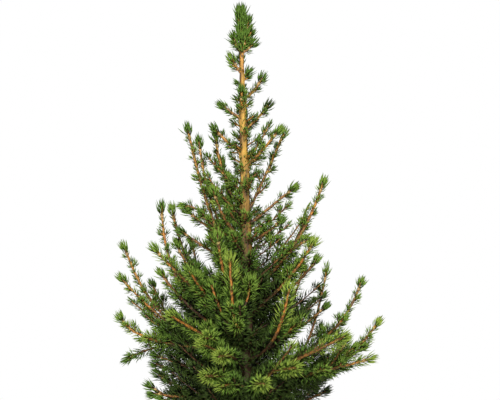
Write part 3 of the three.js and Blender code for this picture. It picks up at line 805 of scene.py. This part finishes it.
def trunkShape():
    shape = ringedCone(bark["trunkSides"], bark["trunkRings"])
    shoots = upperShoots | boughShoots
    collars = [(foot, math.radians(azimuth)) for azimuth, foot, *_ in shoots.values()]
    for vert in shape.verts:
        height = mix(trunk["ground"], trunk["top"] + bark["over"], vert.co.z ** bark["crowding"])
        angle = math.atan2(vert.co.y, vert.co.x)
        radius = trunkRadius(height)
        radius += furrows(angle, height) * min(1, radius / bark["fullRelief"])
        for foot, azimuth in collars:
            turn = math.remainder(angle - azimuth, 2 * math.pi)
            near = (height - foot) / bark["collarHeight"]
            if abs(near) < bark["collarReach"]:
                radius += bark["collar"] * math.exp(-near ** 2 - (turn / bark["collarWidth"]) ** 2)
        middle = trunkMiddle(height)
        vert.co = Vector(middle + radius * np.array([math.cos(angle), math.sin(angle), 0])) * mm
    return shape


def boughShape(curve, number):
    shape = ringedCone(bark["boughSides"], bark["boughRings"])
    for vert in shape.verts:
        t = vert.co.z
        angle = math.atan2(vert.co.y, vert.co.x)
        first, second = across(unit(slopeAt(curve, t)))
        relief = furrows(angle, bark["reliefLength"] * t + bark["reliefStep"] * number)
        radius = mix(bark["boughFoot"], bark["boughTip"], t) + bark["boughRelief"] * relief
        off = math.cos(angle) * first + math.sin(angle) * second
        vert.co = Vector(pointAt(curve, t) + radius * off) * mm
    return shape


# Bark of a young spruce trunk: thin tan plates over a warmer brown, fine-grained and dull, darker low down
# with painted shade
def barkMaterial():
    material, tree, shader, place = newMaterial("spruceTrunkBark", Roughness=0.7, IOR=1.5)
    drawn = addNode(tree, "Mapping", {"Vector": place, "Scale": (1, 1, 0.25)}).outputs["Vector"]
    plates = addRamp(tree, addNoise(tree, drawn, 4, 5),
                     [(0.37, "#4a3218"), (0.47, "#8f6b2b"), (0.62, "#ba903a")])
    height = addNode(tree, "SeparateXYZ", {"Vector": place}).outputs["Z"]
    # Painted shade: the bark is tinted dark brown below the crown's upper part, fully so low down
    paintedShadeLow = addTint(tree, addRange(tree, height, 1, 0, 0.29, 0.41), plates, "#3c2414")
    tree.links.new(paintedShadeLow, shader.inputs["Base Color"])
    addRelief(tree, shader, addNoise(tree, drawn, 1.2, 4), 0.6, 0.4)
    return material


trunkBark = barkMaterial()
addPiece("trunk_bark", meshFromBmesh("trunk_bark", trunkShape()), [trunkBark], ["trunk"])
boughs = bmesh.new()
for number, curve in enumerate(boughCurves.values()):
    one = meshFromBmesh("bough", boughShape(curve, number))
    boughs.from_mesh(one)
    bpy.data.meshes.remove(one)
boughNodes = [name + "_bough" for name in boughShoots]
addPiece("boughs_bark", meshFromBmesh("boughs_bark", boughs), [trunkBark], boughNodes)
print("bark: the trunk and", len(boughCurves), "boughs")


# A shape turned about the axis, from an outline of radii and heights
def spun(outline):
    shape = bmesh.new()
    verts = [shape.verts.new((radius * mm, 0, height * mm)) for radius, height in outline]
    edges = [shape.edges.new(pair) for pair in zip(verts, verts[1:])]
    bmesh.ops.spin(shape, geom=verts + edges, cent=(0, 0, 0), axis=(0, 0, 1), angle=2 * math.pi,
                   steps=pot["turns"], use_merge=True)
    bmesh.ops.remove_doubles(shape, verts=shape.verts, dist=tiny)
    bmesh.ops.recalc_face_normals(shape, faces=shape.faces)
    return shape


# The pot: its wall's outline turned about the axis, its corners rounded and its floor drilled
def potShape():
    bandFoot = pot["height"] - pot["bandHeight"]
    shape = spun([
        (0, 0), (pot["footRadius"], 0), (pot["wallRadius"], bandFoot), (pot["bandRadius"], bandFoot),
        (pot["rimRadius"], pot["height"]), (pot["innerRimRadius"], pot["height"]),
        (pot["innerFootRadius"], pot["floor"]), (0, pot["floor"])])
    corners = [e for e in shape.edges if e.calc_face_angle(0) > pot["sharp"] and
               abs(e.verts[0].co.z - e.verts[1].co.z) < tiny]
    bmesh.ops.bevel(shape, geom=corners, offset=pot["edge"] * mm, offset_type="OFFSET", affect="EDGES",
                    segments=4, profile=0.5, material=-1)
    return shape


def drilled(mesh):
    drill = bmesh.new()
    for i in range(pot["holes"]):
        place = outward(pot["holeTurn"] + 360 * i / pot["holes"]) * pot["holeCircle"] * mm
        made = bmesh.ops.create_cone(drill, cap_ends=True, segments=32, radius1=pot["holeRadius"] * mm,
                                     radius2=pot["holeRadius"] * mm, depth=4 * pot["floor"] * mm)
        bmesh.ops.translate(drill, verts=made["verts"], vec=place)
    drillPiece = addObject("drill", meshFromBmesh("drill", drill, False))
    potPiece = addObject("drilled", mesh)
    cut = potPiece.modifiers.new("holes", "BOOLEAN")
    cut.operation, cut.solver, cut.object = "DIFFERENCE", "EXACT", drillPiece
    bpy.context.view_layer.update()
    done = bpy.data.meshes.new_from_object(potPiece.evaluated_get(bpy.context.evaluated_depsgraph_get()))
    for piece in (drillPiece, potPiece):
        bpy.data.objects.remove(piece)
    done.name = "clay_pot"
    return done


# Terracotta, pressed and fired: dry and fine-grained, with faint turning lines, pale patches of lime bloom
# and a darker damp foot
def clayMaterial():
    material, tree, shader, place = newMaterial("firedTerracotta", Roughness=0.85, IOR=1.5)
    height = addNode(tree, "SeparateXYZ", {"Vector": place}).outputs["Z"]
    cloud = addNoise(tree, place, 45, 5)
    body = addRamp(tree, cloud, [(0.3, "#96502f"), (0.5, "#ab6240"), (0.7, "#bb7552")])
    bloom = addRange(tree, addNoise(tree, place, 14, 8, 0.7), 0, 0.5, 0.55, 0.75)
    pale = addTint(tree, bloom, body, "#d5b39a")
    wander = addNode(tree, "Math", {0: cloud, 1: 0.03}, operation="MULTIPLY").outputs["Value"]
    dampHeight = addNode(tree, "Math", {0: height, 1: wander}, operation="SUBTRACT").outputs["Value"]
    foot = addTint(tree, addRange(tree, dampHeight, 0.35, 0, 0, 0.03), pale, "#6b3a25")
    tree.links.new(foot, shader.inputs["Base Color"])
    waves = {"Vector": place, "Scale": 1 / (20 * mm), "Distortion": 0.6, "Detail": 2}
    rings = addNode(tree, "TexWave", waves, bands_direction="Z").outputs["Fac"]
    relief = addNode(tree, "Mix", {"Factor": 0.35, "A": addNoise(tree, place, 1.5, 4), "B": rings})
    addRelief(tree, shader, relief.outputs["Result"], 0.35, 0.5)
    return material


potMesh = drilled(meshFromBmesh("clay_pot", potShape()))
addPiece("clay_pot", potMesh, [clayMaterial()], ["pot"])
print("pot:", len(potMesh.polygons), "faces")


# The soil: the pot's filling with an uneven top, and crumbs, grit and dropped needles on it
litter = {
    "crumbs": 2600, "crumbShape": 3, "crumbScale": 0.7, "crumbLeast": 0.6, "crumbClear": 3,
    "grit": 90, "gritSizes": (1.2, 2.6), "gritClear": 4,
    "squash": (0.55, 1.1), "ragged": (0.8, 1.15), "raised": 0.2, "trunkClear": 14,
}
dropped = {"count": 160, "clear": 12, "lift": 1.4, "tilt": 0.12, "long": 9, "green": 0.3}


def innerWall(height):
    share = (height - pot["floor"] - 2 * pot["edge"]) / (pot["height"] - pot["floor"] - 3 * pot["edge"])
    return mix(pot["innerFootRadius"], pot["innerRimRadius"], share) - 2 * soil["gap"]


# The height of the soil's top at a distance from the middle
def soilTop(distance):
    level, drop = soil["level"], soil["edgeDrop"]
    wall = innerWall(level - drop)
    return np.interp(distance, [0, soil["flatRadius"], soil["slopeTurn"] * wall, wall],
                     [level, level, level - soil["slopeDrop"] * drop, level - drop])


def soilShape():
    shoulder = soil["level"] - soil["edgeDrop"]
    foot = pot["floor"] + soil["gap"]
    bend = foot + 2 * pot["edge"]
    wall, footWall = innerWall(shoulder), innerWall(bend)
    outline = [(0, foot), (footWall - soil["bevel"], foot), (footWall, bend), (wall, shoulder)]
    outline += [(radius, soilTop(radius)) for radius in np.linspace(wall, 0, soil["rings"])[1:]]
    shape = spun(outline)
    for vert in shape.verts:
        distance = math.hypot(vert.co.x, vert.co.y) / mm
        if vert.co.z / mm > shoulder - 1 and distance < wall - 1:
            clods = noise.noise(vert.co / (soil["clodSize"] * mm))
            clods += soil["fineShare"] * noise.noise(vert.co / (soil["fineSize"] * mm))
            vert.co.z += soil["uneven"] * mm * clods
    return shape


# Small lumps as one mesh of twenty-faced stones, each squashed and turned its own way
def lumpMesh(name, middles, sizes, kinds, random):
    ball = bmesh.new()
    bmesh.ops.create_icosphere(ball, subdivisions=1, radius=0.5)
    bmesh.ops.triangulate(ball, faces=ball.faces)
    ball.verts.ensure_lookup_table()
    corner = np.array([v.co for v in ball.verts])
    face = np.array([[v.index for v in f.verts] for f in ball.faces])
    ball.free()
    count = len(middles)
    turnA, turnB = unit(random.normal(size=(count, 3))), unit(random.normal(size=(count, 3)))
    turnC = unit(np.cross(turnA, turnB))
    turnB = np.cross(turnC, turnA)
    squash = random.uniform(*litter["squash"], (count, 3, 1)) * sizes[:, None, None]
    turns = np.stack([turnA, turnB, turnC], 1) * squash
    ragged = corner[None] * random.uniform(*litter["ragged"], (count, len(corner), 1))
    places = np.einsum("nvk,nkj->nvj", ragged, turns) + middles[:, None]
    corners = (face[None] + len(corner) * np.arange(count)[:, None, None]).reshape(-1, 3)
    return meshFromArrays(name, places.reshape(-1, 3), corners, np.repeat(kinds, len(face)), smooth=False)


# Places spread evenly over the soil, clear of the trunk's flare and the pot's wall
def placesOnSoil(count, random, clear):
    reach = innerWall(soil["level"]) - clear
    distance = np.sqrt(random.uniform(litter["trunkClear"] ** 2, reach ** 2, count))
    angle = random.uniform(0, 2 * np.pi, count)
    height = np.array([soilTop(d) for d in distance])
    return np.stack([distance * np.cos(angle), distance * np.sin(angle), height], 1)


# Peaty potting soil: near black when damp, crumbly and dull, with browner fibres
def soilMaterial(name, dark, pale, grainSize):
    material, tree, shader, place = newMaterial(name, Roughness=0.95, IOR=1.4)
    fibres = addNoise(tree, place, grainSize, 6, 0.65)
    tree.links.new(addRamp(tree, fibres, [(0.38, dark), (0.68, pale)]), shader.inputs["Base Color"])
    addRelief(tree, shader, fibres, 0.8, 1)
    return material


peat = soilMaterial("dampPeatSoil", "#1c130d", "#47331f", 5)
crumbly = soilMaterial("peatCrumbs", "#2a1c12", "#5b4128", 3)
perlite = soilMaterial("perliteGrit", "#cfc8b8", "#ece8de", 2)
addPiece("soil_filling", meshFromBmesh("soil_filling", soilShape()), [peat], ["soil"])
random = np.random.default_rng(seeds["soil"])
crumbs, grit, count = litter["crumbs"], litter["grit"], dropped["count"]
places = np.concatenate([
    placesOnSoil(crumbs, random, litter["crumbClear"]), placesOnSoil(grit, random, litter["gritClear"])])
sizes = np.concatenate([
    random.gamma(litter["crumbShape"], litter["crumbScale"], crumbs) + litter["crumbLeast"],
    random.uniform(*litter["gritSizes"], grit)])
places[:, 2] += litter["raised"] * sizes
lumps = lumpMesh("soil_crumbs", places, sizes, np.repeat([0, 1], [crumbs, grit]), random)
addPiece("soil_crumbs", lumps, [crumbly, perlite])

# Needles that have dropped lie about on the soil, some still green
root = placesOnSoil(count, random, dropped["clear"])
root[:, 2] += dropped["lift"]
heading = random.uniform(0, 2 * np.pi, count)
tilt = random.normal(0, dropped["tilt"], count)
direction = unit(np.stack([np.cos(heading), np.sin(heading), tilt], 1))
length = dropped["long"] * random.uniform(*needle["spread"], count)
green = (random.uniform(size=count) < dropped["green"]).astype(int)
run = (root, direction, np.tile(up, (count, 1)), length, green, np.full(count, needle["radius"]))
# Needles a year off the shoot: dry, straw-brown and dull
dryNeedles = needleMaterial("dropped", "#7d5a30")
addPiece("dropped_needles", needleMesh("dropped_needles", [run], random, 0),
         [dryNeedles, needleMaterials["oldAndShaded"]])
print("soil:", crumbs, "crumbs,", grit, "grit,", count, "dropped needles")


# The studio: a pale floor, a white surround, a soft key light from the front right and gentle fills. A
# light is its place, its size and its power
studio = {"floorRadius": 1.1, "ambient": 0.22}
lights = {
    "key": ((0.3, -2.05, 1.3), 0.9, 78),
    "fill": ((-1.5, -1.4, 0.9), 1.4, 26),
    "back": ((-0.4, 1.9, 1.4), 1.4, 18),
}
view = {"middle": (6.3, 0, 367.7), "distance": 1600, "elevation": 3, "width": 450}

floorDisc = bmesh.new()
bmesh.ops.create_circle(floorDisc, cap_ends=True, segments=128, radius=studio["floorRadius"])
floor = addObject("studio_floor", meshFromBmesh("studio_floor", floorDisc, False))
# Matt white painted board: a trace of unevenness in its dullness
floorMaterial, tree, shader, place = newMaterial("whitePaintedBoard", Base_Color=linear("#f0f0ee"))
tree.links.new(addRange(tree, addNoise(tree, place, 60, 2), 0.7, 0.9), shader.inputs["Roughness"])
floor.data.materials.append(floorMaterial)

lookAt = Vector(view["middle"]) * mm


def aim(thing, place):
    thing.location = place
    thing.rotation_euler = (lookAt - thing.location).to_track_quat("-Z", "Y").to_euler()


for name, (place, size, power) in lights.items():
    lamp = bpy.data.lights.new(name + "_light", "AREA")
    lamp.size, lamp.energy = size, power
    light = addObject(name + "_light", lamp)
    light.visible_camera = False
    aim(light, place)

# The surround is white where it's seen, and gives a softer light than that
world = bpy.data.worlds.new("white_surround")
bpy.context.scene.world = world
world.use_nodes = True
tree = world.node_tree
path = addNode(tree, "LightPath")
strength = addRange(tree, path.outputs["Is Camera Ray"], studio["ambient"], 1)
surround = tree.nodes["Background"]
surround.inputs["Color"].default_value = linear("#ffffff")
tree.links.new(strength, surround.inputs["Strength"])
bpy.context.scene.view_settings.view_transform = "Standard"

lens = bpy.data.cameras.new("camera")
lens.sensor_width = 36
lens.lens = lens.sensor_width * view["distance"] / view["width"]
camera = addObject("camera", lens)
tilt = math.radians(view["elevation"])
aim(camera, lookAt + Vector((0, -math.cos(tilt), math.sin(tilt))) * view["distance"] * mm)
bpy.context.scene.camera = camera
print("studio: floor, lights and camera")
